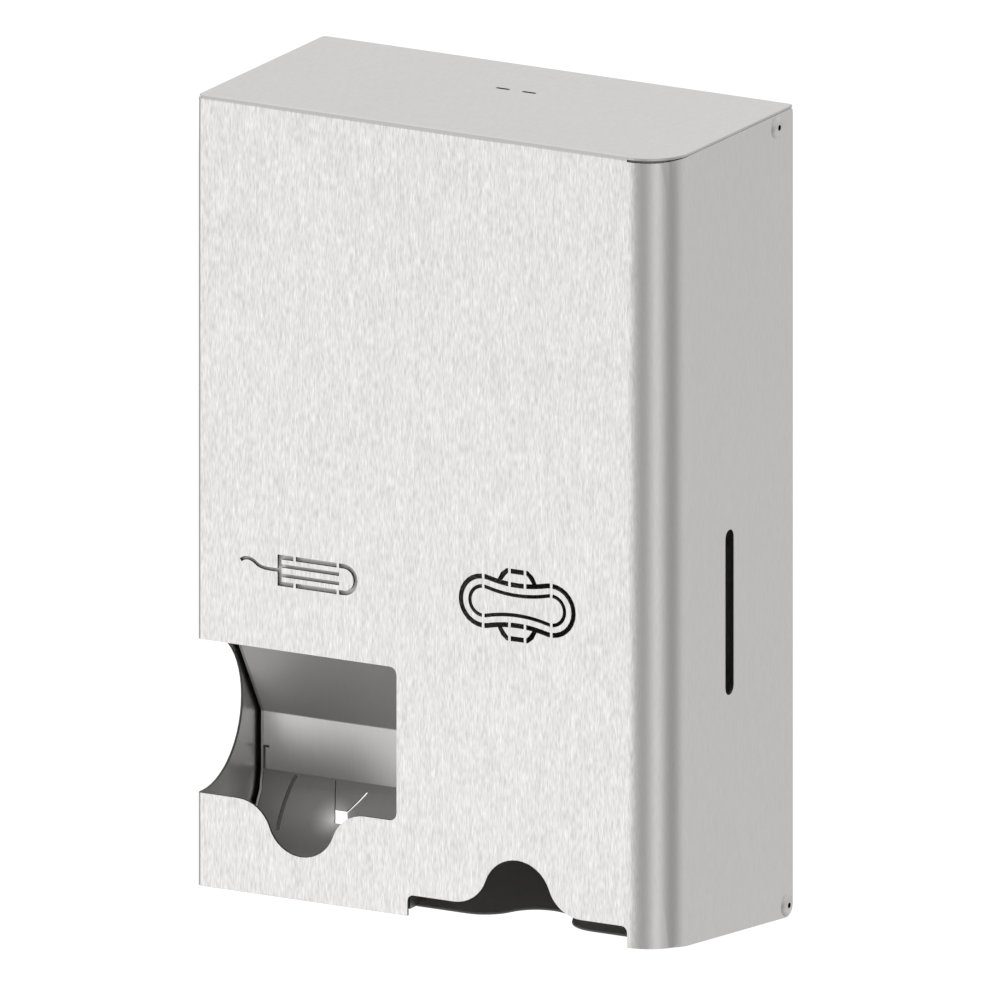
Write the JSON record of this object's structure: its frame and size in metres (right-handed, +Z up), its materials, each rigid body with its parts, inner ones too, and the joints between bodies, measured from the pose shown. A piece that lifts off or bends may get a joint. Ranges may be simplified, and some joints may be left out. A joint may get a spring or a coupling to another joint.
{
  "type": "wall-mounted tampon and pad dispenser",
  "caption": "Brushed steel wall dispenser with a tampon tray opening, a pad outlet at the bottom, cut-out signs and a key-latched hood that hinges forward for refilling.",
  "frame": {"origin": "middle of the width on the rear face of the base, 190 mm above the hood's front bottom edge; the rear face lies on the wall", "axes": "+Z up, +Y into the wall, -Y out of the front, +X to the right seen from the front"},
  "size_m": [0.254, 0.1212, 0.3914],
  "materials": {
    "hood_steel": "brushed upright",
    "inner_steel": "smooth mill finish",
    "dull_steel": "dull mill finish",
    "rivet_steel": "plain",
    "spring_steel": "drawn wire",
    "black_floor": "black coat",
    "black_nylon": "moulded"
  },
  "bodies": {
    "base": {"base_housing": "dull_steel", "hinge_rivet_left": "rivet_steel", "hinge_rivet_right": "rivet_steel", "hinge_washer_left": "black_nylon", "hinge_washer_right": "black_nylon", "magazine_divider": "dull_steel", "pad_side_plate": "inner_steel", "pad_floor": "black_floor", "tampon_front_plate": "inner_steel", "plate_rivet_left_low": "rivet_steel", "plate_rivet_left_high": "rivet_steel", "plate_rivet_right_low": "rivet_steel", "plate_rivet_right_high": "rivet_steel", "tampon_chute": "inner_steel", "tampon_tray": "inner_steel", "latch_bracket": "inner_steel", "latch_pin": "rivet_steel"},
    "hood_cover": {"hood": "hood_steel", "catch_rail": "inner_steel", "rail_rivet_left": "rivet_steel", "rail_rivet_right": "rivet_steel"},
    "latch": {"latch_lever": "inner_steel", "latch_spring": "spring_steel"}
  },
  "joints": [
    {"name": "hood_hinge", "type": "hinge", "parent": "base", "child": "hood_cover", "pos_m": [0, -0.0069, -0.1935], "axis": [1, 0, 0], "range_deg": [0, 94]},
    {"name": "latch_hinge", "type": "hinge", "parent": "base", "child": "latch", "pos_m": [0.0006, -0.0102, 0.1747], "axis": [1, 0, 0], "range_deg": [0, 14], "stiffness_Nm_per_rad": 0.06, "springref_deg": -28.65}
  ]
}
